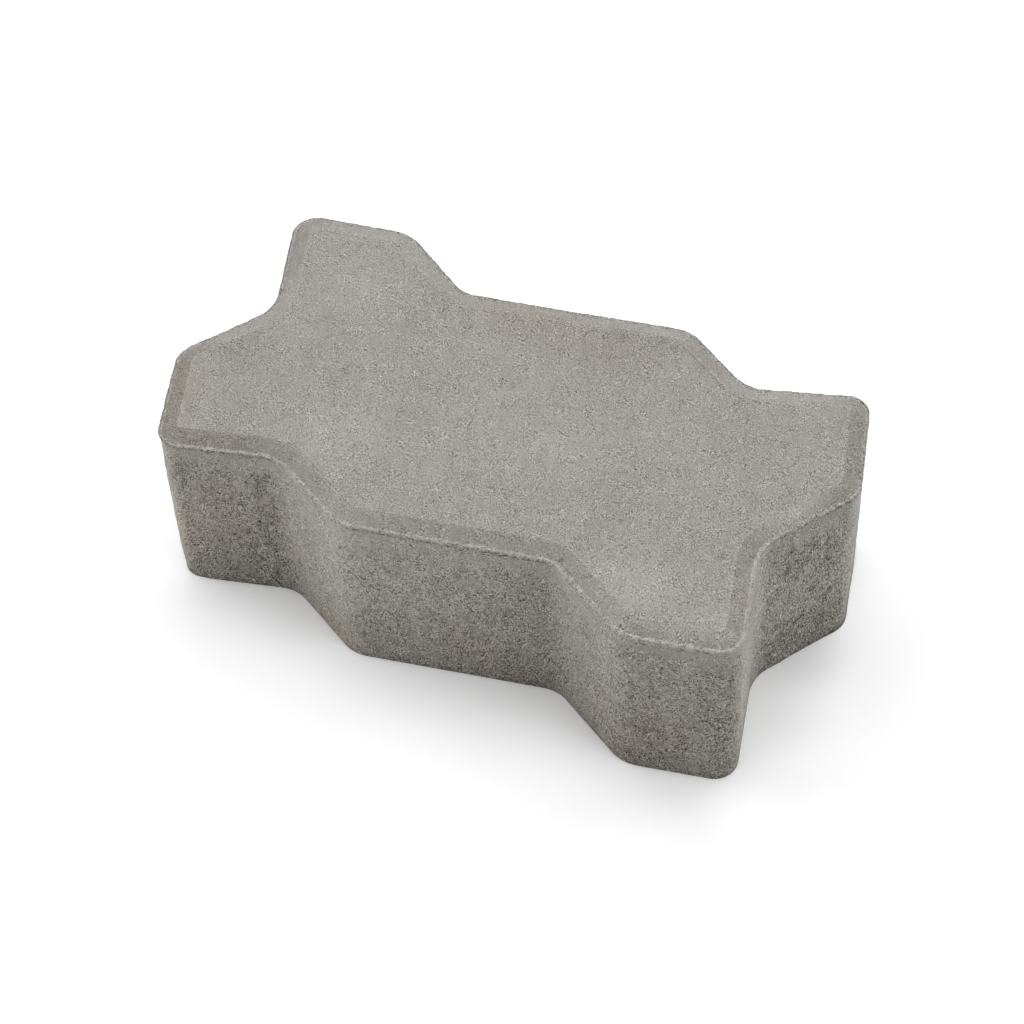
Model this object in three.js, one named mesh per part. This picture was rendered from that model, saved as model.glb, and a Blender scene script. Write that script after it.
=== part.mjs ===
// A zig-zag interlocking paving stone, cast in one piece from concrete.
//
// Millimetres, +Z up. The stone lies on its base, with the origin under the
// middle of its box. +X runs along the stone and +Y across it, to the back.
import * as THREE from 'three';

// Overall sizes, over the outermost corners before they are rounded.
const LENGTH = 240.5;
const WIDTH = 131;
const THICKNESS = 80;

// The chamfer round the wearing face.
const CHAMFER_WIDTH = 6;
const CHAMFER_DEPTH = 2.3;
const FACE_EDGE_ROUND = 1.2;

// The thin lip that the mould leaves along the foot of the chamfer.
const LIP_THICKNESS = 0.8;
const LIP_HEIGHT = 0.5;
const LIP_OVERHANG = 0.3;
const LIP_DROP = 1.2;

// The small round along the base.
const BASE_ROUND = 1;

// Fineness of the rounds.
const CORNER_STEP = THREE.MathUtils.degToRad(7.5);
const ROUND_STEPS = 4;

// Places measured inwards from the four sides of the overall rectangle.
const left = (distance) => distance - LENGTH / 2;
const right = (distance) => LENGTH / 2 - distance;
const front = (distance) => distance - WIDTH / 2;
const back = (distance) => WIDTH / 2 - distance;

// Corners of the outline, anticlockwise from the back left one, each with the
// radius that rounds it. Short flats meet the four corners of the stone, and a
// long flat lies between two slanting steps in the middle of each long side.
const CORNERS = [
  { x: left(9.5), y: back(8), radius: 8.5 },
  { x: left(22.5), y: 14.5, radius: 15.5 },
  { x: left(0), y: -17, radius: 10.5 },
  { x: left(12), y: front(10), radius: 7.5 },

  { x: left(53.5), y: front(21), radius: 14.5 },
  { x: -36, y: front(4), radius: 14 },
  { x: 37, y: front(18.5), radius: 12.5 },
  { x: right(51), y: front(0), radius: 15 },

  { x: right(12), y: front(8), radius: 8.5 },
  { x: right(23), y: -15, radius: 15.5 },
  { x: right(0), y: 18.5, radius: 10.5 },
  { x: right(11.5), y: back(6.5), radius: 7.5 },

  { x: right(51.5), y: back(19.5), radius: 14.5 },
  { x: 40.5, y: back(3.5), radius: 14 },
  { x: -39.5, y: back(19), radius: 12.5 },
  { x: left(51), y: back(1), radius: 15 },
];

const CONCRETE = new THREE.MeshStandardMaterial({
  name: 'concrete',
  color: 0xa5a19c,
  roughness: 0.95,
  metalness: 0,
});

/** The corner's arc, as its centre, signed radius and swept angles. */
function cornerArc(corner, index) {
  const count = CORNERS.length;
  const before = CORNERS[(index + count - 1) % count];
  const after = CORNERS[(index + 1) % count];
  const point = new THREE.Vector2(corner.x, corner.y);
  const arriving = point.clone().sub(new THREE.Vector2(before.x, before.y));
  const leaving = new THREE.Vector2(after.x, after.y).sub(point);
  const turn = Math.atan2(arriving.cross(leaving), arriving.dot(leaving));

  // A corner that points outwards keeps room for the chamfer inside it.
  const outwards = turn > 0;
  const radius = outwards ? Math.max(corner.radius, CHAMFER_WIDTH) : -corner.radius;
  const start = arriving.angle() - Math.PI / 2;
  const tangentLength = Math.abs(radius) * Math.tan(Math.abs(turn) / 2);
  const centre = point
    .sub(arriving.setLength(tangentLength))
    .sub(new THREE.Vector2(Math.cos(start), Math.sin(start)).multiplyScalar(radius));
  return { centre, radius, start, turn };
}

/** The outline moved inwards by inset: every ring has the same number of points. */
function ring(arcs, inset) {
  return arcs.flatMap(({ centre, radius, start, turn }) => {
    const steps = Math.ceil(Math.abs(turn) / CORNER_STEP);
    return Array.from({ length: steps + 1 }, (_, step) => {
      const angle = start + (turn * step) / steps;
      const outwards = new THREE.Vector2(Math.cos(angle), Math.sin(angle));
      return outwards.multiplyScalar(radius - inset).add(centre);
    });
  });
}

/** The edge's section from base to wearing face, as insets and heights. */
function edgeSection() {
  const chamferFoot = THICKNESS - CHAMFER_DEPTH;
  const slope = Math.atan2(CHAMFER_DEPTH, CHAMFER_WIDTH);
  const section = new THREE.Path();
  section.moveTo(BASE_ROUND, 0);
  section.absarc(BASE_ROUND, BASE_ROUND, BASE_ROUND, -Math.PI / 2, -Math.PI, true);
  section.lineTo(0, chamferFoot - LIP_DROP);
  section.lineTo(-LIP_OVERHANG, chamferFoot);
  section.lineTo(0, chamferFoot + LIP_HEIGHT);
  section.lineTo(LIP_THICKNESS, chamferFoot + LIP_THICKNESS * Math.tan(slope));

  // A soft arris joins the chamfer to the wearing face.
  const tangentLength = FACE_EDGE_ROUND * Math.tan(slope / 2);
  section.lineTo(
    CHAMFER_WIDTH - tangentLength * Math.cos(slope),
    THICKNESS - tangentLength * Math.sin(slope),
  );
  section.lineTo(CHAMFER_WIDTH + tangentLength, THICKNESS);
  return section.getPoints(ROUND_STEPS);
}

/** Closes a stack of rings into one body, with a flat cap at each end. */
function loft(rings) {
  const around = rings[0].points.length;
  const positions = rings.flatMap(({ points, height }) => points.flatMap(({ x, y }) => [x, y, height]));
  const top = (rings.length - 1) * around;
  const faces = [];
  for (let level = 0; level < rings.length - 1; level += 1) {
    for (let i = 0; i < around; i += 1) {
      const a = level * around + i;
      const b = level * around + ((i + 1) % around);
      faces.push(a, b, b + around, a, b + around, a + around);
    }
  }
  for (const [a, b, c] of THREE.ShapeUtils.triangulateShape(rings[0].points, [])) {
    faces.push(a, c, b);
  }
  for (const [a, b, c] of THREE.ShapeUtils.triangulateShape(rings.at(-1).points, [])) {
    faces.push(top + a, top + b, top + c);
  }
  const geometry = new THREE.BufferGeometry();
  geometry.setAttribute('position', new THREE.Float32BufferAttribute(positions, 3));
  geometry.setIndex(faces);
  return geometry;
}

/** The stone, with the middle of its base at the origin. */
function pavingStone() {
  const arcs = CORNERS.map(cornerArc);
  const rings = edgeSection().map(({ x: inset, y: height }) => ({ points: ring(arcs, inset), height }));
  const geometry = loft(rings);
  geometry.computeBoundingBox();
  const middle = geometry.boundingBox.getCenter(new THREE.Vector3());
  geometry.translate(-middle.x, -middle.y, 0);
  geometry.computeVertexNormals();
  const stone = new THREE.Mesh(geometry, CONCRETE);
  stone.name = 'paving_stone';
  return stone;
}

const model = new THREE.Group();
model.add(pavingStone());
export default model;
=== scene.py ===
"""A cast concrete paving stone: its skin, its finish and a plain stage round it."""

import itertools
import math
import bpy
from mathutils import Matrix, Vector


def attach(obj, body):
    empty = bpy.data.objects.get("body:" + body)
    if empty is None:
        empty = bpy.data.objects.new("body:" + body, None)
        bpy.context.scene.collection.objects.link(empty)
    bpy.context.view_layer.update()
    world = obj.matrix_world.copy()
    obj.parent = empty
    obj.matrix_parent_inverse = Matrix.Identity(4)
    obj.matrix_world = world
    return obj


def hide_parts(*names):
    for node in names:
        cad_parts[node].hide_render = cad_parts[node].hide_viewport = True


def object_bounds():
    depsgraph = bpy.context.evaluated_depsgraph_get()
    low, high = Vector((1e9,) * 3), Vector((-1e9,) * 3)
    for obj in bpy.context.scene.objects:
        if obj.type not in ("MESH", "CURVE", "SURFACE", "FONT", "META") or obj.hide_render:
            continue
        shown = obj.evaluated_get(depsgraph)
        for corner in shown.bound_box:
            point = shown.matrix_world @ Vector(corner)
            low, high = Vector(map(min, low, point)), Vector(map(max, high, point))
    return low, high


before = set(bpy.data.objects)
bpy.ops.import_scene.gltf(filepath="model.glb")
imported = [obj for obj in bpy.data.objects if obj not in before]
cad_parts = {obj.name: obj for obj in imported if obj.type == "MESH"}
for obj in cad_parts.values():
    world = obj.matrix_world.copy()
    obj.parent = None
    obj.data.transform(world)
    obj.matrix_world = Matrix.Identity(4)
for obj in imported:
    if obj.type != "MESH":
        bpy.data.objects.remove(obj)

from types import SimpleNamespace

import bpy
import numpy as np
from bpy.props import FloatProperty, FloatVectorProperty, IntProperty, PointerProperty
from mathutils import Euler, Matrix, Vector

bl_info = {
    "name": "Concrete Paving Stone",
    "version": (1, 0, 0),
    "blender": (4, 5, 0),
    "location": "View3D > Sidebar > Stone",
    "description": "Builds a zig-zag paving stone with a cast skin, and a plain stage for it",
    "category": "Add Mesh",
}

NODE = "paving_stone"
BODY = "root"
MM = 0.001
CAD_LOW, CAD_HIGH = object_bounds()
THICKNESS = CAD_HIGH.z

# Two heights of the CAD solid's corners, in metres, that differ by less are the same.
SAME_HEIGHT = 1e-5

# The widest step between two points of a ring, in steps of the finest ring.
COARSEST = 4

# How far below the chamfer's foot the lip leaves the upright side.
LIP_ROOT = 1.9 * MM


# ---------------------------------------------------------------- the CAD outline


def cad_ring(node, pick):
    """One ring of the CAD node's corners, anticlockwise: those at the height that pick chooses. The middle
    of the stone sees the whole outline, so the corners' directions put them in order."""
    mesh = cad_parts[node].data
    corners = np.empty(len(mesh.vertices) * 3, np.float32)
    mesh.vertices.foreach_get("co", corners)
    corners = np.unique(np.round(corners.reshape(-1, 3).astype(float), 7), axis=0)
    level = pick(np.unique(np.round(corners[:, 2], 6)))
    ring = corners[np.abs(corners[:, 2] - level) < SAME_HEIGHT]
    return ring[np.argsort(np.arctan2(ring[:, 1], ring[:, 0])), :2]


# The outline of the upright sides: the highest ring below half the stone's height.
WALL_RING = cad_ring(NODE, lambda heights: heights[heights < THICKNESS / 2].max())


# ---------------------------------------------------------------- the finish and the stage


# The way from the front of the stone to its far side, in degrees from +X.
FAR_WAY = 117

# How the finish's chamfer differs in width from its setting, in millimetres: wider by the first all round,
# and by the second wider in front and narrower behind.
CHAMFER_DRIFT = (0.15, 0.65)

# How far in millimetres the lip's lower edge, its hem, hangs where LIP_COURSE says 1.
HEM_DROOP = 0.65

# Pores: how far apart in millimetres, and the radius of the widest.
SIDE_PORES = (4.5, 1.8)
FACE_PORES = (6, 1.8)

# How far along X, Y and Z a place is moved back for each millimetre of height, so that the furrows lean.
LEAN = (0.39, 0.58, 0.6)

# Where the sides are coarser: the right end, the left end of the front and the right end's far part, each
# with its centre and radii in millimetres.
COARSE_END = ((109, 2, 36), (26, 26, 60))
COARSE_FRONT = ((-75, -47, 32), (7, 14, 60))
COARSE_FAR = ((114, 9, 46), (8, 9, 18))

# Where the foot is drawn in: centre and radii in millimetres, and how far.
DRAWN_IN = (
    ((118, 16, -2), (26, 30, 75), 1.05),
    ((-107, -53, -2), (10, 10, 14), 0.8),
)

# Tones go from 0, the darkest cement paste, to PALEST, the palest sand. The wearing face is round FACE_TONE,
# and the sides, which get less light, are painted paler by the last of these three: painted light that makes
# up for it.
PALEST = 1.3
FACE_TONE = 0.515
SIDE_PAINTED_LIGHT = 0.182

# How much of the palest sand's colour the lip takes, and the level of the concrete's reflections.
LIP_PALE = 0.18
SHINE = 0.3

# Soft patches: where, centre and radii in millimetres, how much lighter, and how much browner. The browner
# part is stains; the lighter part is partly the concrete's own tone and partly painted light and shade,
# where the sides and the chamfer turn to or away from the light.
TONE_STAIN_AND_PAINTED_LIGHT_PATCHES = (
    # The wearing face is paler round its middle and on its front and left lobes, and darker behind and at
    # its left end.
    ("face", (10, -5, 80), (45, 25, 15), 0.05, 0),
    ("face", (-50, -30, 80), (25, 20, 15), 0.06, 0),
    ("all", (65, -45, 80), (20, 15, 10), 0.08, 0),
    ("face", (100, -48, 80), (15, 12, 15), 0.08, 0),
    ("all", (-70, 33, 80), (25, 22, 15), 0.06, 0),
    ("all", (0, 43, 80), (60, 15, 15), -0.05, 0.35),
    ("face", (28, 55, 80), (25, 10, 10), -0.08, 0.1),
    ("face", (-101, -7, 80), (16, 16, 12), -0.08, 0.2),
    ("face", (2, -2, 80), (14, 12, 15), -0.04, 0),
    # Its left end is browner.
    ("all", (-118, -35, 80), (25, 35, 25), -0.02, 0.55),
    # The chamfer is mostly darker on the left and behind, and paler on the right: partly painted light and
    # shade that follows the way each part of it faces.
    ("chamfer", (-106, 36, 79), (14, 34, 10), -0.09, 0.2),
    ("chamfer", (-110, 0, 79), (18, 22, 10), 0.1, 0.2),
    ("chamfer", (-80, -50, 79), (34, 14, 10), -0.04, 0.3),
    ("chamfer", (-37, -55, 79), (18, 14, 10), 0.06, 0.1),
    ("chamfer", (92, -58, 79), (25, 14, 10), 0.12, 0),
    ("chamfer", (105, -35, 79), (20, 30, 10), 0.08, 0.3),
    ("chamfer", (106, 0, 79), (22, 26, 10), 0.22, 0),
    ("chamfer", (114, 39, 79), (14, 26, 10), -0.08, 0.1),
    ("chamfer", (55, 54, 79), (20, 14, 10), -0.09, 0.4),
    ("all", (114, 8, 78), (16, 14, 10), -0.07, 0),
    ("all", (103, -54, 79), (8, 8, 8), 0.1, 0),
    # The front: paler on its left and in its middle, darker towards its right corner, partly painted light
    # and shade. Two thin bands just under the lip are painted shade.
    ("side", (-109, -51, 30), (16, 16, 40), 0.12, 0.3),
    ("side", (-69, -46, 50), (20, 20, 50), 0.15, 0.15),
    ("side", (-25, -59, 50), (35, 22, 45), 0.11, 0.1),
    ("side", (10, -52, 45), (50, 25, 40), 0.06, 0.1),
    # Painted shade just under the lip.
    ("side", (-52, -53, 75), (20, 14, 5), -0.11, 0),
    ("side", (62, -55, 30), (50, 40, 65), -0.1, 0.15),
    # Painted shade just under the lip.
    ("side", (52, -56, 75), (20, 14, 5), -0.1, 0),
    ("side", (75, -60, 68), (40, 18, 15), -0.06, 0),
    ("side", (104, -57, 45), (14, 13, 50), -0.16, 0),
    ("side", (75, -65, 18), (20, 16, 30), -0.1, 0),
    ("side", (104, -57, 4), (15, 12, 12), -0.08, 0),
    # The right end is paler on its flat sides and in its rounds, partly painted light where they turn to the
    # light, and darker at its foot, painted shade, and next to its outermost round.
    ("side", (101, -28, 28), (25, 35, 35), 0.14, 0.05),
    ("side", (112, 6, 42), (22, 24, 35), 0.19, 0.15),
    ("side", (110, 5, 13), (26, 28, 14), -0.13, 0),
    ("side", (100, -15, 60), (5, 6, 32), 0.18, 0),
    ("side", (118, 14, 52), (4, 4, 40), -0.15, 0),
    ("side", (120, 21, 45), (3, 7, 60), 0.1, 0),
    # Brown stains low on the front.
    ("side", (-85, -55, 40), (40, 25, 50), 0, 0.5),
    ("side", (25, -50, 8), (30, 15, 16), -0.06, 0.1),
    ("all", (-42, -52, 6), (16, 14, 16), 0, 0.9),
    ("side", (5, -50, 20), (25, 15, 25), 0, 0.4),
    ("all", (66, -60, 18), (24, 14, 18), 0.05, 0.1),
    ("side", (84, -62, 28), (22, 14, 24), 0, 0.4),
)

# The floor's grid: steps from its middle to its edge, and the half width in metres of its fine middle. The
# distances of its points from the outline are worked out in FLOOR_PARTS parts, to spare the memory.
FLOOR_STEPS = 150
FLOOR_CORE = 0.08
FLOOR_PARTS = 64

# The floor's colour: a touch cool, against the warm light that the stone throws on it.
FLOOR_COLOUR = (0.96, 0.965, 0.98)

# The backdrop's colour.
WHITE = (1.0, 1.0, 1.0)

# What the floor throws back onto the stone of the light that falls on it, and the part of its white, as the
# camera sees it, that is its own.
FLOOR_BOUNCE = (0.5, 0.5, 0.5)
FLOOR_OWN = 0.205

# Painted light and shadow on the floor: where its own white is more, painting the stone's shadow out, and
# where it is less, painting shadow in. Centre and radii in millimetres, and how much whiter.
FLOOR_PAINTED_LIGHT_AND_SHADOW = (
    ((-140, -5, 0), (55, 80, 10), 0.09),
    ((-112, -46, 0), (28, 24, 10), 0.065),
    ((-63, -61, 0), (20, 14, 10), -0.04),
    ((0, -96, 0), (40, 40, 10), 0.035),
    ((84, -60, 0), (16, 16, 10), -0.045),
    ((114, -66, 0), (20, 18, 10), 0.07),
    ((90, -90, 0), (30, 20, 10), 0.03),
    ((120, -28, 0), (16, 14, 10), -0.03),
    ((112, 1, 0), (18, 20, 10), -0.07),
    ((98, -14, 0), (36, 50, 10), -0.06),
    ((120, 10, 0), (22, 50, 10), 0.04),
    ((100, 36, 0), (60, 36, 10), 0.055),
)

# The lip's course round the stone, at places along the outline in millimetres: how low its hem hangs, how
# much paler it is, how much painted shade darkens the chamfer beside it, and how strong the painted shade
# under it is.
LIP_COURSE = (
    (7, -0.35, -0.1, 0, 1),
    (38, -0.35, -0.1, 0, 1),
    (49, 1.1, 0, 0, 1),
    (73, 1.1, 0, 0, 1),
    (83, 0.85, 0, 0, 1),
    (147, 0.85, 0, 0, 1),
    (156, 0.9, 0, 0, 1),
    (183, 0.9, 0, 0, 1),
    (194, 1.15, 0.2, 0.09, 1),
    (219, 1.3, 0.2, 0.09, 1),
    (233, 0.3, 1.1, 0, 0),
    (261, 0.3, 1.1, 0, 0),
    (272, 0.2, 0, 0.08, 0.7),
    (280, 0.2, -0.9, 0.08, 0.7),
    (289, 0.2, -0.4, 0.08, 0.7),
    (303, 0.2, -0.3, 0.08, 0.7),
    (312, 0, 0, 0, 1),
)

# The width of the camera's sensor, in millimetres.
SENSOR_WIDTH = 36

# Each lamp: name, azimuth from +X and elevation in degrees, and strength.
LAMPS = (
    ("overhead_lamp", 0, 90, 0.12),
    ("back_lamp", 120, 60, 0.34),
    ("left_lamp", 180, 12, 0.67),
    ("left_front_lamp", -120, 12, 0.35),
    ("right_lamp", 0, 35, 0.43),
    ("right_back_lamp", 60, 12, 0.36),
)


# ---------------------------------------------------------------- settings


class StoneSettings(bpy.types.PropertyGroup):
    """Sizes and colours of the stone's skin."""

    around: IntProperty(
        name="Points Around", description="Points of the finest ring round the stone", default=1560, min=160
    )
    drag_way: FloatProperty(
        name="Drag", description="Way that the sides face that the mould drags on most",
        default=math.radians(-57), subtype="ANGLE",
    )
    base_round: FloatProperty(
        name="Base Round", description="Radius of the edge under the upright sides",
        default=0.45 * MM, subtype="DISTANCE", precision=5,
    )
    wall_step: FloatProperty(
        name="Wall Step", description="Height between two rings of the upright sides",
        default=1.05 * MM, subtype="DISTANCE", precision=5,
    )
    chamfer_width: FloatProperty(
        name="Chamfer Width", description="Width of the sloping band round the wearing face",
        default=6 * MM, subtype="DISTANCE", precision=5,
    )
    chamfer_depth: FloatProperty(
        name="Chamfer Depth", description="Fall of the sloping band from the wearing face",
        default=2.3 * MM, subtype="DISTANCE", precision=5,
    )
    lip_height: FloatProperty(
        name="Lip Height", description="How far the cast lip stands above the chamfer's foot",
        default=0.65 * MM, subtype="DISTANCE", precision=5,
    )
    lip_thickness: FloatProperty(
        name="Lip Thickness", description="Thickness of the cast lip",
        default=1.25 * MM, subtype="DISTANCE", precision=5,
    )
    lip_overhang: FloatProperty(
        name="Lip Overhang", description="How far the cast lip stands out from the wall",
        default=0.4 * MM, subtype="DISTANCE", precision=5,
    )
    paste: FloatVectorProperty(
        name="Cement Paste", description="Colour of the dry cement between the grains",
        subtype="COLOR", default=(0.102, 0.088, 0.071), min=0, max=1,
    )
    sand: FloatVectorProperty(
        name="Sand", description="Colour of the palest sand grains",
        subtype="COLOR", default=(0.82, 0.80, 0.76), min=0, max=1,
    )
    # Painted shade: the dark inside the open pores, which the pits, the creases and the specks under the lip
    # take too.
    pore: FloatVectorProperty(
        name="Pore", description="Colour inside the open pores",
        subtype="COLOR", default=(0.05, 0.045, 0.04), min=0, max=1,
    )
    stain: FloatVectorProperty(
        name="Stain", description="What the faint brown stains leave of each colour of the light",
        subtype="COLOR", default=(1.0, 0.945, 0.87), min=0, max=1,
    )
    grain_depth: FloatProperty(
        name="Grain Depth", description="Depth of the sand grain in the surface",
        default=0.12 * MM, subtype="DISTANCE", precision=5,
    )
    roughness: FloatProperty(name="Roughness", description="Roughness of dry concrete", default=0.93)


class StageSettings(bpy.types.PropertyGroup):
    """The camera, the lights and the floor."""

    azimuth: FloatProperty(name="Azimuth", description="Turn of the camera round the stone",
                           default=math.radians(26.857), subtype="ANGLE")
    elevation: FloatProperty(name="Elevation", description="Height of the camera above the horizon",
                             default=math.radians(53.507), subtype="ANGLE")
    roll: FloatProperty(name="Roll", description="Tilt of the camera about its own axis",
                        default=math.radians(-2.922), subtype="ANGLE")
    distance: FloatProperty(name="Distance", description="From the camera to the point it looks at",
                            default=1.15415, subtype="DISTANCE")
    target: FloatVectorProperty(name="Target", description="The point on the floor that the camera looks at",
                                default=(-0.01025, 0.01817, 0.0), subtype="TRANSLATION")
    lens: FloatProperty(name="Focal Length", description="Focal length in millimetres, on a 36 mm sensor",
                        default=110.92)
    light: FloatProperty(name="Light", description="Strength of all the lamps together", default=1.0)
    floor_half: FloatProperty(name="Floor", description="Half the width of the floor", default=4.0,
                              subtype="DISTANCE")
    softness: FloatProperty(name="Softness", description="How wide each lamp looks from the stone",
                            default=math.radians(45), subtype="ANGLE")


# ---------------------------------------------------------------- numpy noise


def cells(points, size, seed):
    """Each point's lattice cell, its place inside it from 0 to 1, and the lattice's own random source."""
    scaled = points / size
    cell = np.floor(scaled).astype(int)
    inside = scaled - cell
    return cell - cell.min(axis=0) + 1, inside, np.random.default_rng(seed)


def smooth_noise(points, size, seed):
    """Noise from -1 to 1: random numbers at the corners of a lattice of that size, blended by the soft S
    3 x squared - 2 x cubed along each axis."""
    cell, inside, random = cells(points, size, seed)
    table = random.uniform(-1, 1, cell.max(axis=0) + 3)
    inside = inside * inside * (3 - 2 * inside)
    total = np.zeros(len(points))
    for corner in itertools.product((0, 1), repeat=3):
        weight = np.prod(np.where(corner, inside, 1 - inside), axis=1)
        total += weight * table[tuple((cell + corner).T)]
    return total


def rough_noise(points, size, seed, octaves=3):
    """Smooth noise summed over octaves, each with half the size and half the strength of the last, and
    divided by 1.5, near the strength of the first two together."""
    return sum(smooth_noise(points, size / 2**k, seed + k) / 2**k for k in range(octaves)) / 1.5


def pores(points, spacing, radius, seed):
    """Depth from 0 to 1 of round pores: one pore at a random place in each lattice cell, each with its own
    size, from a sixteenth of radius to all of it, and a bowl's section, 1 - (distance / size) squared."""
    cell, inside, random = cells(points, spacing, seed)
    shape = tuple(cell.max(axis=0) + 3)
    place = random.uniform(0, 1, shape + (3,))
    size = radius * random.uniform(0.25, 1, shape) ** 2
    depth = np.zeros(len(points))
    for step in itertools.product((-1, 0, 1), repeat=3):
        index = tuple((cell + step).T)
        distance = np.linalg.norm((place[index] + step - inside) * spacing, axis=1)
        depth = np.maximum(depth, 1 - (distance / size[index]) ** 2)
    return depth


def smoothstep(low, high, value):
    """0 below low, 1 above high and a soft S between. Where low is above high, it falls instead."""
    x = np.clip((value - low) / (high - low), 0, 1)
    return x * x * (3 - 2 * x)


def spot(points, centre, radii, uneven):
    """1 at the centre and 0 beyond the radii: a soft egg-shaped place, with uneven added to its edge."""
    away = np.linalg.norm((points - centre) / radii, axis=1)
    return smoothstep(1.0, 0.2, away + uneven)


# ---------------------------------------------------------------- the skin


def fine_outline(settings):
    """The wall's outline as points at even steps, their outward normals and distances along it, and the
    number of steps of each side between the stone's four corners: front, right, back and left."""
    ring = WALL_RING
    edge = np.roll(ring, -1, axis=0) - ring
    along = np.concatenate([[0], np.cumsum(np.linalg.norm(edge, axis=1))])
    outward = np.stack([edge[:, 1], -edge[:, 0]], axis=1)
    outward /= np.linalg.norm(outward, axis=1)[:, None]
    outward = outward + np.roll(outward, 1, axis=0)
    outward /= np.linalg.norm(outward, axis=1)[:, None]

    total = along[-1]
    reach = [np.argmax(ring @ np.array(way)) for way in ((-1, -1), (1, -1), (1, 1), (-1, 1))]
    start = along[reach[0]]
    stops = (along[reach] - start) % total
    lengths = np.diff(np.append(stops, total))
    quarter = settings.around / 2 / total
    long_steps, short_steps = (
        COARSEST * round(quarter * (lengths[k] + lengths[k + 2]) / COARSEST) for k in (0, 1)
    )
    steps = [long_steps, short_steps] * 2
    distance = np.concatenate(
        [stop + length * np.arange(n) / n for stop, length, n in zip(stops, lengths, steps)]
    )
    at = (start + distance) % total
    closed = np.append(ring, ring[:1], axis=0)
    normals = np.append(outward, outward[:1], axis=0)
    points = np.stack([np.interp(at, along, closed[:, k]) for k in (0, 1)], axis=1)
    normals = np.stack([np.interp(at, along, normals[:, k]) for k in (0, 1)], axis=1)
    return points, normals / np.linalg.norm(normals, axis=1)[:, None], distance, steps


def edge_section(settings):
    """The edge's section from the base up and in over the chamfer: insets, heights, strides, and distances
    along the section from where the lip stands out furthest. The lip's rings use every point of the
    outline, and the others every second or fourth."""
    foot = THICKNESS - settings.chamfer_depth
    slope = settings.chamfer_depth / settings.chamfer_width
    lip = settings.lip_height
    over = settings.lip_overhang
    inner = settings.lip_thickness

    # Up the quarter round at the base and the upright side, to the lip's root.
    turn = np.radians([0, 30, 60])
    top = foot - LIP_ROOT
    low = settings.base_round
    walls = np.linspace(low, top, round((top - low) / settings.wall_step) + 1)
    base_round = [low * (1 - np.sin(turn)), low * (1 - np.cos(turn)), 2]
    upright = [0 * walls, walls, 2]

    # Out and up over the lip in shares of its overhang, thickness and height, and in over the chamfer.
    crest = [
        np.array([0.3, -0.3, -0.9, -1, -0.85, -0.35, 0, 0, 0, 0]) * over
        + np.array([0, 0, 0, 0, 0, 0, 0.12, 0.4, 0.72, 1]) * inner,
        foot + np.array([-1.3, -0.95, -0.65, -0.25, 0, 0, 0, 0, 0, 0]) * MM
        + np.array([0, 0, 0, 0, 0.35, 0.85, 1.05, 1.05, 0.8, inner * slope / lip]) * lip, 1,
    ]
    band = np.linspace(inner, settings.chamfer_width, 9)[1:-1]
    chamfer = [band, foot + band * slope, 2]

    # The arris, where the chamfer meets the wearing face, is rounded off by a few hundredths of a
    # millimetre.
    arris = np.array([-0.35, 0.05, 0.4, 0.8, 1.3]) * MM
    fall = np.minimum(arris - 0.1 * MM, 0) * slope - np.array([0.02, 0.03, 0.01, 0, 0]) * MM
    rim = [settings.chamfer_width + arris, THICKNESS + fall, 4]
    parts = [base_round, upright, crest, chamfer, rim]
    insets = np.concatenate([part[0] for part in parts])
    heights = np.concatenate([part[1] for part in parts])
    strides = np.concatenate([np.full(len(part[0]), part[2]) for part in parts])
    round_edge = np.append(0, np.cumsum(np.hypot(np.diff(insets), np.diff(heights))))
    return insets, heights, strides, round_edge - round_edge[np.argmin(insets)]


def face_grid(ring, steps):
    """The wearing face inside ring: a grid whose rows blend from the front side to the back side and whose
    columns blend from left to right, less the blend of the four corners."""
    front, right = steps[:2]
    sides = np.split(np.append(ring, ring[:1], axis=0), np.cumsum(steps)[:-1])
    corner = [side[0] for side in sides]
    front_side = np.append(sides[0], [corner[1]], axis=0)
    right_side = np.append(sides[1], [corner[2]], axis=0)
    back_side = np.append(sides[2], [corner[3]], axis=0)[::-1]
    left_side = sides[3][::-1]
    along = np.linspace(0, 1, front + 1)[:, None, None]
    back = np.linspace(0, 1, right + 1)[None, :, None]
    blend = (1 - back) * front_side[:, None] + back * back_side[:, None]
    blend = blend + (1 - along) * left_side[None] + along * right_side[None]
    blend = blend - (1 - along) * (1 - back) * corner[0] - along * (1 - back) * corner[1]
    return blend - along * back * corner[2] - (1 - along) * back * corner[3]


def band_faces(lower, upper):
    """Faces between two closed rings of point numbers. Where one ring has twice the points of the other,
    each step is one triangle and one four-sided face."""
    if len(lower) == len(upper):
        return [np.stack([lower, np.roll(lower, -1), np.roll(upper, -1), upper], axis=1)]
    turned = len(lower) < len(upper)
    fine, coarse = (upper, lower) if turned else (lower, upper)
    first, middle, last = fine[::2], fine[1::2], np.roll(fine[::2], -1)
    faces = [
        np.stack([first, middle, coarse], axis=1),
        np.stack([middle, last, np.roll(coarse, -1), coarse], axis=1),
    ]
    return [face[:, ::-1] for face in faces] if turned else faces


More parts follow.
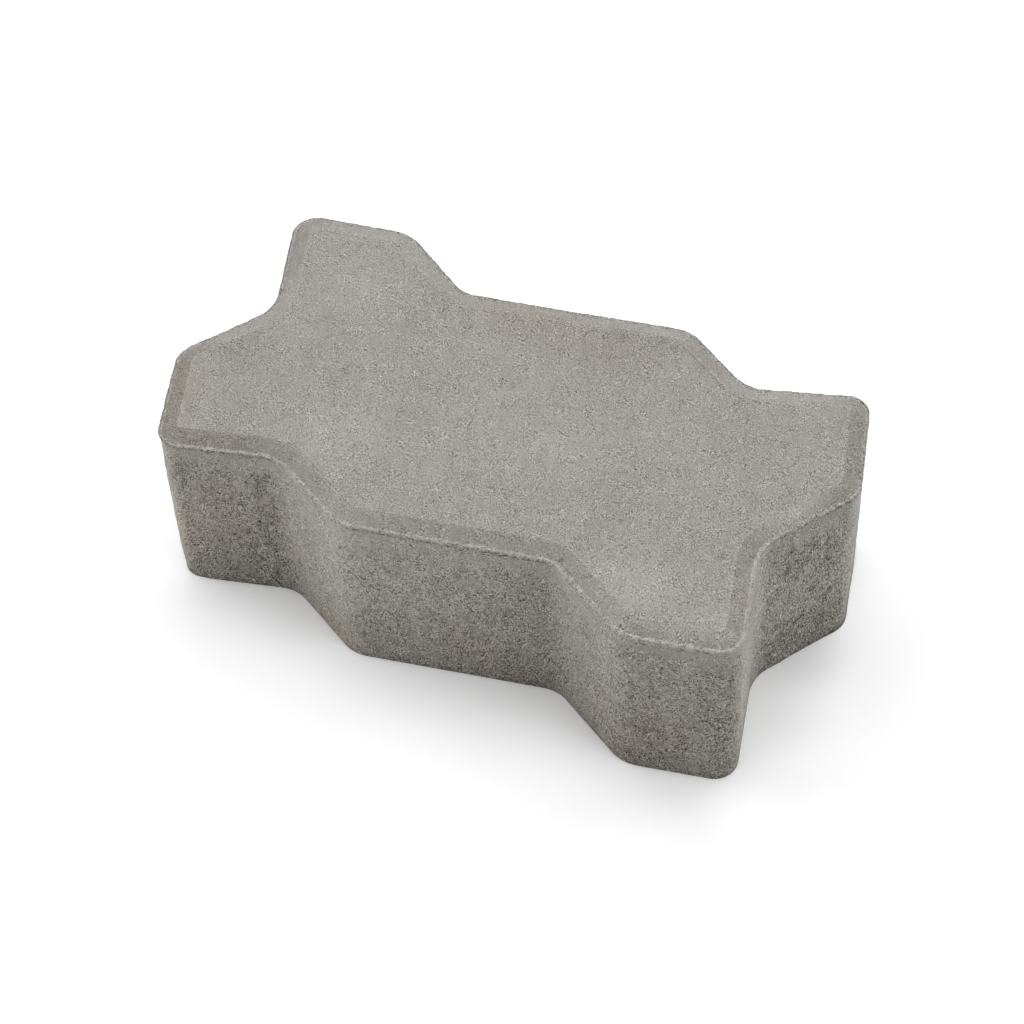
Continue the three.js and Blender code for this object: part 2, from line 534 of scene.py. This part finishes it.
def build_skin(settings):
    """The whole skin before its relief: points, outward directions, faces, and where each point stands as
    its inset from the wall, its distance round the outline, the way that the side beside it faces and its
    distance up and over the edge from the lip."""
    outline, normals, distance, steps = fine_outline(settings)
    insets, heights, strides, beyond = edge_section(settings)

    # The skin's outward direction turns with the section's slope.
    tilt = np.stack([np.gradient(heights), np.gradient(insets)], axis=1)
    tilt /= np.linalg.norm(tilt, axis=1)[:, None]

    points, facing, faces, numbers, place = [], [], [], [], []
    total = 0
    for inset, height, stride, past, (flat, up) in zip(insets, heights, strides, beyond, tilt):
        ring, normal = outline[::stride], normals[::stride]
        level = np.full((len(ring), 1), height)
        points.append(np.hstack([ring - inset * normal, level]))
        facing.append(np.hstack([flat * normal, np.full((len(ring), 1), up)]))
        place.append(np.stack([np.full(len(ring), inset), distance[::stride],
                               np.arctan2(normal[:, 1], normal[:, 0]), np.full(len(ring), past)], axis=1))
        numbers.append(total + np.arange(len(ring)))
        total += len(ring)
    for lower, upper in itertools.pairwise(numbers):
        faces += band_faces(lower, upper)

    # The wearing face, whose grid starts from the last ring.
    steps = [n // COARSEST for n in steps]
    grid = face_grid(points[-1][:, :2], steps)
    inner = grid[1:-1, 1:-1].reshape(-1, 2)
    points.append(np.hstack([inner, np.full((len(inner), 1), THICKNESS)]))
    facing.append(np.tile([0.0, 0, 1], (len(inner), 1)))
    place.append(np.tile([2 * settings.chamfer_width, 0, 0, 2 * settings.chamfer_width], (len(inner), 1)))
    front, right = steps[:2]
    last = numbers[-1]
    number = np.empty((front + 1, right + 1), int)
    number[1:-1, 1:-1] = total + np.arange(len(inner)).reshape(front - 1, right - 1)
    number[:, 0] = last[: front + 1]
    number[-1, :] = last[front: front + right + 1]
    number[:, -1] = last[front + right: 2 * front + right + 1][::-1]
    number[0, :] = np.append(last[2 * front + right:], last[0])[::-1]
    cell = [number[:-1, :-1], number[1:, :-1], number[1:, 1:], number[:-1, 1:]]
    faces.append(np.stack(cell, axis=-1).reshape(-1, 4))
    faces.append(numbers[0][None, ::-1])
    return np.concatenate(points), np.concatenate(facing), faces, np.concatenate(place)


def zones(height, inset, width, foot):
    """How much each point belongs to each zone, from 0 to 1. Below the height foot are the sides. Above it,
    the slope inside the lip is the chamfer up to the inset width, and the wearing face beyond it."""
    side = smoothstep(foot - 0.2, foot - 1.2, height)
    sloped = smoothstep(0.8, 1.4, inset) * (height > foot)
    face = smoothstep(width - 0.35, width + 0.35, inset) * (height > foot)
    return {"all": 1.0, "side": side, "sloped": sloped, "chamfer": (1 - face) * sloped, "face": face}


def coarseness(mm, turn, side, foot, uneven):
    """How coarse the sides are: most on those that the mould drags on, where turn is near 0 or half a turn,
    least just under the lip and a little less at the foot. COARSE_END, COARSE_FRONT and COARSE_FAR are
    places that are coarser still."""
    height = mm[:, 2]
    ragged = smooth_noise(mm, 11, 41)
    drag = 0.8 + 0.27 * np.cos(2 * turn)
    coarse = side * drag * smoothstep(foot - 0.5, foot - 15, height + 5 * ragged)
    coarse = coarse * (1 - 0.25 * smoothstep(26, 4, height))
    coarse = coarse * (1 + 0.5 * spot(mm, *COARSE_END, uneven))
    coarse = coarse + 0.8 * side * spot(mm, *COARSE_FRONT, 2 * uneven)
    return coarse + 0.25 * side * spot(mm, *COARSE_FAR, uneven)


def side_relief(mm, coarse):
    """The relief of the sides in millimetres, out of the stone, its furrows, and how deep the points lie in
    pores. A soft swell carries lumps drawn up by the mould, bowl-shaped pores and, where the side is
    coarsest, leaning furrows. All fade towards the foot, where the right end's outermost corner and the
    front's left corner are drawn in."""
    height = mm[:, 2]
    swell = 0.25 * smooth_noise(mm, 45, 1) + 0.12 * smooth_noise(mm, 14, 2)
    drawn = mm * [1, 1, 0.3]
    lumps = 0.12 * smooth_noise(drawn, 2.6, 3) + 0.12 * smooth_noise(drawn, 6, 4)
    lumps = lumps + 0.18 * rough_noise(mm, 3.2, 5)
    leaning = mm - height[:, None] * LEAN
    furrows = np.clip(coarse - 0.8, 0, 0.7) * rough_noise(leaning, 2.4, 6, octaves=2)
    holes = pores(mm, *SIDE_PORES, 7)
    relief = swell + (0.3 + 0.95 * coarse) * lumps - 0.75 * holes * (0.1 + 0.9 * coarse) + 0.8 * furrows
    relief = relief * (0.15 + 0.85 * smoothstep(0.5, 6, height))
    for centre, radii, depth in DRAWN_IN:
        relief = relief - depth * spot(mm, centre, radii, 0.0)
    return relief, furrows, holes


def lip_line(along, far):
    """The lip at each point, by its place along the outline: how high it stands, as a share of its height,
    and the last four columns of LIP_COURSE. It is broken away in places, less on the far sides."""
    line = np.stack([along, 0 * along, 0 * along], axis=1)
    stand = 0.45 * smooth_noise(line, 0.8, 21) + 0.5 * smooth_noise(line, 2.2, 22)
    stand = stand + 0.4 * smooth_noise(line, 15, 23)
    course = np.array(LIP_COURSE).T
    droop, paler, darker, shade = (np.interp(along, course[0], column) for column in course[1:])
    return SimpleNamespace(
        stand=np.clip(0.85 + (0.68 - 0.32 * far) * stand, 0.3, 1.2),
        droop=droop + 0.4 * smooth_noise(line, 18, 24), paler=paler, darker=darker, shade=shade,
    )


def patch_marks(mm, zone, uneven):
    """How much lighter and how much browner the soft patches make each point. The lighter part is partly
    painted light and shade.
    """
    light = 0
    brown = 0
    for where, centre, radii, lighter, browner in TONE_STAIN_AND_PAINTED_LIGHT_PATCHES:
        patch = zone[where] * spot(mm, centre, radii, uneven)
        light = light + patch * lighter
        brown = brown + patch * browner
    return {"light": light, "brown": brown}


def weather(points, facing, place, settings):
    """Moves each point of the skin along its outward direction by the relief of cast concrete, lets the lip
    stand and hang as its course says, and returns the moved points and the marks that the finish reads. The
    skin stays in the CAD solid's box, and its base stays flat."""
    mm = points / MM
    inset, along, way, past_lip = place[:, 0] / MM, place[:, 1] / MM, place[:, 2], place[:, 3] / MM
    height = mm[:, 2]
    foot = (THICKNESS - settings.chamfer_depth) / MM
    far = np.cos(way - math.radians(FAR_WAY))
    width = settings.chamfer_width / MM + CHAMFER_DRIFT[0] - CHAMFER_DRIFT[1] * far
    zone = zones(height, inset, width, foot)
    side, sloped, face = zone["side"], zone["sloped"], zone["face"]
    uneven = 0.15 * rough_noise(mm, 9, 53)
    coarse = coarseness(mm, way - settings.drag_way, side, foot, uneven)

    on_sides, furrows, holes = side_relief(mm, coarse)
    hollows = pores(mm, *FACE_PORES, 13)
    on_face = 0.06 * smooth_noise(mm, 30, 11) + 0.06 * rough_noise(mm, 3, 12) - 0.16 * hollows
    on_chamfer = 0.08 * smooth_noise(mm, 9, 15) + 0.03 * rough_noise(mm, 2.4, 16)
    relief = side * on_sides + face * on_face + zone["chamfer"] * on_chamfer
    moved = points + facing * (relief * MM)[:, None]

    lip = lip_line(along, far)
    on_lip = smoothstep(foot - 0.95, foot - 0.5, height) * smoothstep(1.5, 1.0, inset)
    short = on_lip * (1 - lip.stand)
    moved[:, 2] -= short * settings.lip_height * smoothstep(foot - 0.3, foot + 0.2, height)
    moved[:, :2] -= facing[:, :2] * (0.7 * short * settings.lip_overhang)[:, None]
    hanging = smoothstep(foot - 9, foot - 1.3, height) * smoothstep(foot - 0.2, foot - 1, height)
    moved[:, 2] -= HEM_DROOP * MM * lip.droop * hanging * (height < foot)
    moved = np.clip(moved, np.array(CAD_LOW), np.array(CAD_HIGH))
    moved[points[:, 2] == 0, 2] = 0

    # The finish reads how far a point is past the lip and past the chamfer's upper edge, in millimetres, so
    # that both keep a crisp outline between two rings of points.
    marks = {
        "side": side, "sloped": sloped, "coarse": coarse, "furrows": furrows,
        "pore": np.clip(coarse * holes + face * hollows, 0, 1),
        "past_lip": np.clip(past_lip, -9, 9), "past_chamfer": inset - width,
        "stand": np.clip(0.3 + 0.7 * lip.stand, 0, 1), "droop": lip.droop, "paler": lip.paler,
        "darker": lip.darker, "shade": lip.shade, "far": smoothstep(-0.5, 0.1, far),
    }
    return moved, marks | patch_marks(mm, zone, uneven)


def new_mesh(name, points, faces, marks):
    """A mesh object with a float attribute for each mark. Every face is smooth but the last, which is the
    base of the skin and, on the flat floor, makes no difference."""
    mesh = bpy.data.meshes.new(name)
    sizes = np.concatenate([np.full(len(part), part.shape[1]) for part in faces])
    loops = np.concatenate([part.ravel() for part in faces])
    mesh.vertices.add(len(points))
    mesh.vertices.foreach_set("co", points.astype(np.float32).ravel())
    mesh.loops.add(len(loops))
    mesh.loops.foreach_set("vertex_index", loops.astype(np.int32))
    mesh.polygons.add(len(sizes))
    mesh.polygons.foreach_set("loop_start", (np.cumsum(sizes) - sizes).astype(np.int32))
    mesh.update(calc_edges=True)
    smooth = np.ones(len(sizes), bool)
    smooth[-1] = False
    mesh.polygons.foreach_set("use_smooth", smooth)
    for mark, values in marks.items():
        layer = mesh.attributes.new(mark, "FLOAT", "POINT")
        layer.data.foreach_set("value", values.astype(np.float32))
    item = bpy.data.objects.new(name, mesh)
    bpy.context.scene.collection.objects.link(item)
    return item


# ---------------------------------------------------------------- shader maths


class Value:
    """A shader socket that takes part in sums: each operator adds the Math node that works it out."""

    def __init__(self, shader, socket):
        self.shader = shader
        self.socket = socket

    def _math(self, operation, *values):
        """What a Math node makes of the values."""
        return self.shader.add("ShaderNodeMath", {"operation": operation}, dict(enumerate(values)))

    def __add__(self, other):
        return self._math("ADD", self, other)

    __radd__ = __add__

    def __sub__(self, other):
        return self._math("SUBTRACT", self, other)

    def __rsub__(self, other):
        return self._math("SUBTRACT", other, self)

    def __mul__(self, other):
        return self._math("MULTIPLY", self, other)

    __rmul__ = __mul__

    def __truediv__(self, other):
        return self._math("DIVIDE", self, other)

    def __pow__(self, other):
        return self._math("POWER", self, other)

    def sine(self):
        """The sine of a value in radians."""
        return self._math("SINE", self)

    def absolute(self):
        """The size of a value, without its sign."""
        return self._math("ABSOLUTE", self)

    def clamp(self, low=0.0, high=1.0):
        """The value, held between low and high."""
        return self._math("MINIMUM", self._math("MAXIMUM", self, low), high)

    def step(self, low, high):
        """0 below low and 1 above high, with a soft S between."""
        settings = {"interpolation_type": "SMOOTHSTEP"}
        sockets = {"Value": self, "From Min": low, "From Max": high}
        return self.shader.add("ShaderNodeMapRange", settings, sockets)


class Shader:
    """A node tree that is written as calls."""

    def __init__(self, tree):
        self.tree = tree
        tree.nodes.clear()

    def add(self, kind, settings=None, sockets=None, output=0):
        """Adds a node: its settings first, then the values or links of its sockets. Returns an output."""
        node = self.tree.nodes.new(kind)
        for name, value in (settings or {}).items():
            setattr(node, name, value)
        for name, value in (sockets or {}).items():
            target = node.inputs[name]
            if isinstance(value, Value):
                self.tree.links.new(value.socket, target)
            else:
                target.default_value = value
        return Value(self, node.outputs[output]) if node.outputs else node

    def position(self):
        """Object coordinates in millimetres."""
        place = self.add("ShaderNodeTexCoord", output="Object")
        sockets = {0: place, "Scale": 1 / MM}
        return self.add("ShaderNodeVectorMath", {"operation": "SCALE"}, sockets)

    def axis(self, place, name):
        """One coordinate: X along the stone, Y across it or Z above its base."""
        return self.add("ShaderNodeSeparateXYZ", None, {"Vector": place}, output=name)

    def mark(self, name):
        """A float attribute of the mesh."""
        return self.add("ShaderNodeAttribute", {"attribute_name": name}, output="Fac")

    def noise(self, place, size, detail=2.0, stretch=(1, 1, 1), shift=0.0, twist=0.0):
        """Soft noise about 0, near -1 to 1, with features of that many millimetres."""
        scale = tuple(1 / (size * part) for part in stretch)
        sockets = {"Vector": place, "Scale": scale, "Location": (shift, shift, shift)}
        place = self.add("ShaderNodeMapping", {"vector_type": "POINT"}, sockets)
        sockets = {"Vector": place, "Scale": 1.0, "Detail": detail, "Distortion": twist}
        return (self.add("ShaderNodeTexNoise", {"noise_dimensions": "3D"}, sockets) - 0.5) * 4

    def mix(self, factor, first, second, blend="MIX"):
        """A colour between first and second, or between first and its blend with second. The Mix node's
        sockets for it are 0, 6 and 7, and its output is 2."""
        settings = {"data_type": "RGBA", "clamp_factor": True, "blend_type": blend}
        return self.add("ShaderNodeMix", settings, {0: factor, 6: first, 7: second}, output=2)

    def seen(self):
        """1 for what the camera looks at, also in a mirror or through glass, and 0 for light on its way."""
        rays = [self.add("ShaderNodeLightPath", output=name)
                for name in ("Is Camera Ray", "Is Glossy Ray", "Is Transmission Ray")]
        return (rays[0] + rays[1] + rays[2]).clamp()


def colour(value):
    """The three parts of a colour as a shader's socket takes them, with its opacity."""
    return (*value, 1.0)


def sand_grain(shader, place):
    """Sand grain with short curved strokes in it, as a change of tone, and the noises that it is made of.
    How strongly the grain shows changes every few millimetres."""
    fine = shader.noise(place, 0.36, detail=0, shift=3)
    grain = shader.noise(place, 0.62, detail=0, shift=7, twist=0.6)
    lumps = shader.noise(place, 1.25, detail=0, shift=13, twist=0.6)
    strokes = (6 * shader.noise(place, 1.7, detail=0, shift=61)).sine()
    clumps = shader.noise(place, 2.8, detail=1, shift=43)
    show = 1 + 0.7 * shader.noise(place, 4.2, detail=1, shift=19)
    show = (show + 0.2 * shader.noise(place, 14, detail=1, shift=5)).clamp(0.35, 2.2)
    tone = (0.205 * fine + 0.12 * grain + 0.12 * strokes + 0.04 * lumps) * show + 0.03 * clumps
    return SimpleNamespace(fine=fine, grain=grain, lumps=lumps, strokes=strokes, clumps=clumps, tone=tone)


def side_texture(shader, place, grain, side, coarse):
    """What the mould leaves on the coarse sides: ridges drawn up them, pits, which are short dark specks and
    fewer wider ones, and where the side is coarsest leaning furrows with dark creases between them."""
    ridges = (5 * shader.noise(place, 2.0, detail=0, stretch=(1, 1, 2.2), shift=71, twist=0.5)).sine()
    speck = shader.noise(place, 0.8, detail=0, stretch=(1, 1, 1.5), shift=29, twist=0.8).step(0.42, 0.95)
    pit = shader.noise(place, 1.7, detail=1, stretch=(1, 1, 1.3), shift=37).step(0.45, 1.0)
    # The pits are darkened later with painted shade.
    pits = (0.55 * speck + 0.45 * pit) * (0.10 * side + 0.9 * coarse).clamp(0, 1.1)
    furrows = shader.mark("furrows")
    # The creases, in the furrows' hollows, are darkened later with painted shade.
    creases = (0.12 * grain - furrows).step(0.14, 0.34)
    return SimpleNamespace(ridges=ridges, pits=pits, furrows=furrows, creases=creases)


def edge_texture(shader, place, lumps, patch):
    """The chamfer's crisp upper edge with a painted highlight on its arris and painted shade beside the lip,
    and
    the lip: pale down to its ragged hem, with broken dark specks and painted shade below it, and on the far
    sides painted shade along its outside edge."""
    past_lip = shader.mark("past_lip")
    past_chamfer = shader.mark("past_chamfer") + 0.2 * lumps + 0.2 * patch
    face = past_chamfer.step(-0.2, 0.2)
    # A painted highlight just inside the arris.
    arris = past_chamfer.step(0, 0.4) * (1 - past_chamfer.step(0.7, 1.3))
    # Painted shade on the chamfer beside the lip.
    beside = shader.mark("darker") * (1 - past_chamfer.step(-5, -1.5))
    teeth = shader.noise(place, 1.4, detail=1, shift=91)
    hem = past_lip - 0.3 - 0.9 * teeth - 0.3 * patch + 0.75 * shader.mark("droop")
    crest = hem.step(-0.2, 0.2)
    # Painted shade along the lip's outside edge on the far sides.
    outer = shader.mark("far") * past_lip.step(0.6, 0.9) * (1 - past_lip.step(1.25, 1.6))
    inner = 1 - (past_lip + 0.35 * teeth).step(1.8, 2.4)
    under = (1 - crest) * hem.step(-1.2, -0.4) * shader.mark("shade")
    # Dark specks under the lip, painted shade where it overhangs, and a few broken specks on its crest.
    torn_and_shaded = shader.noise(place, 1.5, detail=2, stretch=(1, 1, 0.6), shift=47).step(0.05, 0.35) * under
    torn_and_shaded = torn_and_shaded + 0.5 * crest * inner * shader.noise(place, 1.2, detail=0, shift=53).step(0.75, 1.05)
    return SimpleNamespace(
        face=face, chamfer=shader.mark("sloped") * (1 - face), arris=arris, beside=beside, outer=outer,
        lip=crest * inner * shader.mark("stand") * (1 - outer), fall=past_lip.step(-0.6, 0.9),
        under=under, torn_and_shaded=torn_and_shaded,
    )


def stone_tone(shader, place, patch, sand, sides, edge, side, coarse, low):
    """The tone of the concrete, from 0, the darkest paste, to PALEST, the palest sand. The sides are
    coarser, with drawn streaks, painted paler as painted light, and darker low down, partly with painted
    shade near the floor. The chamfer is smoother, and darker at the front and the ends, painted shade. A
    painted highlight lies on the arris and painted shade along the lip, and the soft patches add tone that
    is partly painted light and shade."""
    height, along = shader.axis(place, "Z"), shader.axis(place, "X")
    cloud = shader.noise(place, 38, detail=2, shift=17)
    drawn = shader.noise(place, 4.5, detail=2, stretch=(1, 1, 5), shift=23)
    front = 1 - shader.axis(place, "Y").step(-25, 35)
    right = along.step(50, 95)
    left = 1 - along.step(-110, -30)
    ends = along.absolute().step(84, 116)

    rough = 1 - 0.12 * left * edge.face + 0.1 * side + 1.3 * coarse
    rough = rough - edge.chamfer * (0.45 - 0.15 * front - 0.2 * right)
    tone = FACE_TONE + sand.tone * rough + 0.03 * patch + 0.035 * cloud
    streaks = 0.10 + 0.10 * drawn + 0.05 * sand.clumps + 0.08 * coarse * sides.ridges
    # Painted light: the sides are painted paler, as they get less light.
    tone = tone + coarse * streaks + SIDE_PAINTED_LIGHT * side
    # Painted shade along the foot, where the sides meet the floor; darker low down, partly painted shade
    # near the floor and partly darker concrete; and lighter on the furrows' ridges and darker in their
    # hollows, painted light and shade.
    foot = 1 - height.step(0.8, 4) + 0.35 * (1 - height.step(2, 15))
    tone = tone + 0.45 * sides.furrows - (0.185 * low + (0.03 + 0.19 * coarse) * foot) * side
    # The chamfer is a little darker all round, and more at the front and the ends, painted shade that
    # follows the way it faces, and beside the lip, painted shade.
    tone = tone - edge.chamfer * (0.01 + 0.11 * front + 0.08 * ends + edge.beside)
    # A painted highlight on the arris, painted shade along the lip's outside edge on the far sides and under
    # the lip, and the soft patches' tone, partly painted light and shade.
    return tone + 0.04 * edge.arris - 0.25 * edge.outer - 0.03 * edge.under + shader.mark("light")


def concrete(settings):
    """Dry cast concrete: its tone goes from cement paste to sand. Stains, open pits and creases darkened
    with painted shade, the pale lip and the dark specks and painted shade under it lie over that, and its
    relief is sand grain, ridges and pits."""
    material = bpy.data.materials.new("concrete")
    material.use_nodes = True
    shader = Shader(material.node_tree)
    place = shader.position()
    paste, sand_colour, pore = (colour(part) for part in (settings.paste, settings.sand, settings.pore))
    side, coarse = shader.mark("side"), shader.mark("coarse")
    # Low down on the sides: darker, partly with painted shade near the floor, and browner.
    low = 1 - shader.axis(place, "Z").step(2, 44)
    patch = shader.noise(place, 7, detail=2, shift=11)
    sand = sand_grain(shader, place)
    sides = side_texture(shader, place, sand.grain, side, coarse)
    edge = edge_texture(shader, place, sand.lumps, patch)
    tone = stone_tone(shader, place, patch, sand, sides, edge, side, coarse, low)
    plain = shader.mix((tone / PALEST).clamp(), paste, sand_colour)

    stain = shader.noise(place, 9, detail=2, shift=31).step(0.5, 1.3)
    stain = stain * (0.08 + 0.3 * edge.chamfer + 0.1 * side)
    stain = stain + shader.mark("brown") + (0.24 + 0.2 * low) * side
    stained = shader.mix(stain.clamp(), plain, colour(settings.stain), "MULTIPLY")
    # Painted shade inside the pits, the pores and the creases.
    holes = 0.5 * sides.pits + 0.3 * shader.mark("pore") + 0.3 * sides.creases
    pitted = shader.mix(holes.clamp(), stained, pore)
    pale = 1.65 - 0.8 * edge.fall + 0.7 * sand.grain + 0.8 * sand.lumps + shader.mark("paler")
    lipped = shader.mix((edge.lip * pale).clamp(0, 2) * LIP_PALE, pitted, sand_colour)
    # The specks under the lip take the pores' dark colour: painted shade.
    lipped = shader.mix((0.75 * edge.torn_and_shaded).clamp(), lipped, pore)

    relief = 0.6 * sand.fine + 0.6 * sand.grain + 0.3 * sand.strokes + 0.3 * sand.lumps
    relief = relief * (1 + 0.9 * coarse - 0.4 * edge.chamfer)
    relief = relief + coarse * coarse * sides.ridges
    relief = relief - 1.8 * sides.pits - 1.5 * sides.creases - 2.0 * edge.torn_and_shaded
    bump = shader.add(
        "ShaderNodeBump", None, {"Strength": 1.0, "Distance": settings.grain_depth, "Height": relief},
        output="Normal",
    )
    surface = shader.add(
        "ShaderNodeBsdfPrincipled", None,
        {"Base Color": lipped, "Roughness": settings.roughness, "Normal": bump, "Specular IOR Level": SHINE},
    )
    shader.add("ShaderNodeOutputMaterial", None, {"Surface": surface})
    return material


# ---------------------------------------------------------------- the stage


def floor_material():
    """A white floor that keeps the stone's shadow: part of its white is its own."""
    material = bpy.data.materials.new("studio_floor")
    material.use_nodes = True
    shader = Shader(material.node_tree)
    lit = shader.add("ShaderNodeBsdfDiffuse", None, {"Color": colour(FLOOR_COLOUR)})
    # Its own white carries the painted light and shadow that studio_floor gives it.
    own = shader.add("ShaderNodeEmission", None, {"Color": shader.mark("own_white_and_painted_shadow"), "Strength": 1.0})
    white = shader.add("ShaderNodeAddShader", None, {0: lit, 1: own})
    plain = shader.add("ShaderNodeBsdfDiffuse", None, {"Color": colour(FLOOR_BOUNCE)})
    mixed = shader.add("ShaderNodeMixShader", None, {0: shader.seen(), 1: plain, 2: white})
    shader.add("ShaderNodeOutputMaterial", None, {"Surface": mixed})
    return material


def studio_world():
    """White where the camera looks past the floor, and no light of its own."""
    world = bpy.data.worlds.new("studio")
    bpy.context.scene.world = world
    world.use_nodes = True
    shader = Shader(world.node_tree)
    unlit = shader.add("ShaderNodeBackground", None, {"Color": colour(WHITE), "Strength": 0.0})
    white = shader.add("ShaderNodeBackground", None, {"Color": colour(WHITE), "Strength": 1.0})
    mixed = shader.add("ShaderNodeMixShader", None, {0: shader.seen(), 1: unlit, 2: white})
    shader.add("ShaderNodeOutputWorld", None, {"Surface": mixed})


def direction(azimuth, elevation):
    """Unit vector to a place in the sky: azimuth anticlockwise from +X, both in degrees."""
    turn, rise = math.radians(azimuth), math.radians(elevation)
    return Vector((math.cos(turn) * math.cos(rise), math.sin(turn) * math.cos(rise), math.sin(rise)))


def soft_light(name, azimuth, elevation, strength, stage):
    """A far, wide lamp: a white card that faces it at strength 1 looks white."""
    data = bpy.data.lights.new(name, "SUN")
    data.angle = stage.softness
    data.energy = math.pi * strength * stage.light
    lamp = bpy.data.objects.new(name, data)
    lamp.rotation_euler = direction(azimuth, elevation).to_track_quat("Z", "Y").to_euler()
    bpy.context.scene.collection.objects.link(lamp)


def studio_camera(stage):
    """The camera: it looks at its target from the turn, height and distance that the stage gives."""
    data = bpy.data.cameras.new("camera")
    data.sensor_width = SENSOR_WIDTH
    data.lens = stage.lens
    camera = bpy.data.objects.new("camera", data)
    turn = Euler((math.pi / 2 - stage.elevation, 0, stage.azimuth)).to_matrix()
    turn = turn @ Matrix.Rotation(stage.roll, 3, "Z")
    place = Vector(stage.target) + turn.col[2] * stage.distance
    camera.matrix_world = Matrix.Translation(place) @ turn.to_4x4()
    bpy.context.scene.collection.objects.link(camera)
    bpy.context.scene.camera = camera


def studio_floor(stage, outline):
    """A flat square grid, whose lines stand at the hyperbolic sine of even steps, close together round the
    stone. Its own white is a little less right beside the outline, a painted contact shadow, and a little
    more away from it, painted light that fades the shadow out; the patches paint more light and shadow on
    it."""
    line = np.sinh(np.linspace(-1, 1, 2 * FLOOR_STEPS + 1) * np.arcsinh(stage.floor_half / FLOOR_CORE))
    x, y = np.meshgrid(line * FLOOR_CORE, line * FLOOR_CORE)
    points = np.stack([x.ravel(), y.ravel(), np.zeros(x.size)], axis=1)
    parts = np.array_split(points[:, :2], FLOOR_PARTS)
    beside = [np.linalg.norm(part[:, None] - outline[None], axis=2).min(axis=1) for part in parts]
    beside = np.concatenate(beside) / MM
    mm = points / MM
    # Painted shadow right beside the stone, and painted light away from it that fades the shadow out.
    own = FLOOR_OWN - 0.02 * np.exp(-beside / 3) + 0.02 * smoothstep(5, 18, beside)
    own = own + 0.05 * smoothstep(40, 90, beside)
    for centre, radii, lighter in FLOOR_PAINTED_LIGHT_AND_SHADOW:
        own = own + lighter * spot(mm, centre, radii, 0.0)
    side = len(line)
    number = np.arange(side * side).reshape(side, side)
    corners = [number[:-1, :-1], number[:-1, 1:], number[1:, 1:], number[1:, :-1]]
    floor = new_mesh("studio_floor", points, [np.stack(corners, axis=-1).reshape(-1, 4)], {"own_white_and_painted_shadow": own})
    floor.data.materials.append(floor_material())


# ---------------------------------------------------------------- operators


class STONE_OT_skin(bpy.types.Operator):
    """Build the stone's cast skin round its CAD solid"""

    bl_idname = "stone.skin"
    bl_label = "Cast Skin"

    def execute(self, context):
        settings = context.scene.paving_stone
        points, facing, faces, place = build_skin(settings)
        moved, marks = weather(points, facing, place, settings)
        skin = new_mesh("stone_skin", moved, faces, marks)
        skin.data.materials.append(concrete(settings))
        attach(skin, BODY)
        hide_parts(NODE)
        return {"FINISHED"}


class STONE_OT_stage(bpy.types.Operator):
    """Set up the floor, the light and the camera"""

    bl_idname = "stone.stage"
    bl_label = "Plain Stage"

    def execute(self, context):
        stage = context.scene.paving_stage
        studio_world()
        for lamp in LAMPS:
            soft_light(*lamp, stage)
        outline = fine_outline(context.scene.paving_stone)[0][::COARSEST]
        studio_floor(stage, outline)
        studio_camera(stage)
        context.scene.view_settings.view_transform = "Standard"
        return {"FINISHED"}


class STONE_PT_panel(bpy.types.Panel):
    """Lists the stone's steps in the 3D view's sidebar"""

    bl_idname = "STONE_PT_panel"
    bl_label = "Paving Stone"
    bl_space_type = "VIEW_3D"
    bl_region_type = "UI"
    bl_category = "Stone"

    def draw(self, context):
        for operator in (STONE_OT_skin, STONE_OT_stage):
            self.layout.operator(operator.bl_idname)


CLASSES = (StoneSettings, StageSettings, STONE_OT_skin, STONE_OT_stage, STONE_PT_panel)


def register():
    """Adds the operators, the panel and the settings to Blender."""
    for item in CLASSES:
        bpy.utils.register_class(item)
    bpy.types.Scene.paving_stone = PointerProperty(type=StoneSettings)
    bpy.types.Scene.paving_stage = PointerProperty(type=StageSettings)


def unregister():
    """Takes them out again."""
    del bpy.types.Scene.paving_stage
    del bpy.types.Scene.paving_stone
    for item in reversed(CLASSES):
        bpy.utils.unregister_class(item)


def main():
    """Builds the stone and its stage."""
    register()
    bpy.ops.stone.skin()
    bpy.ops.stone.stage()


if __name__ == "__main__":
    main()
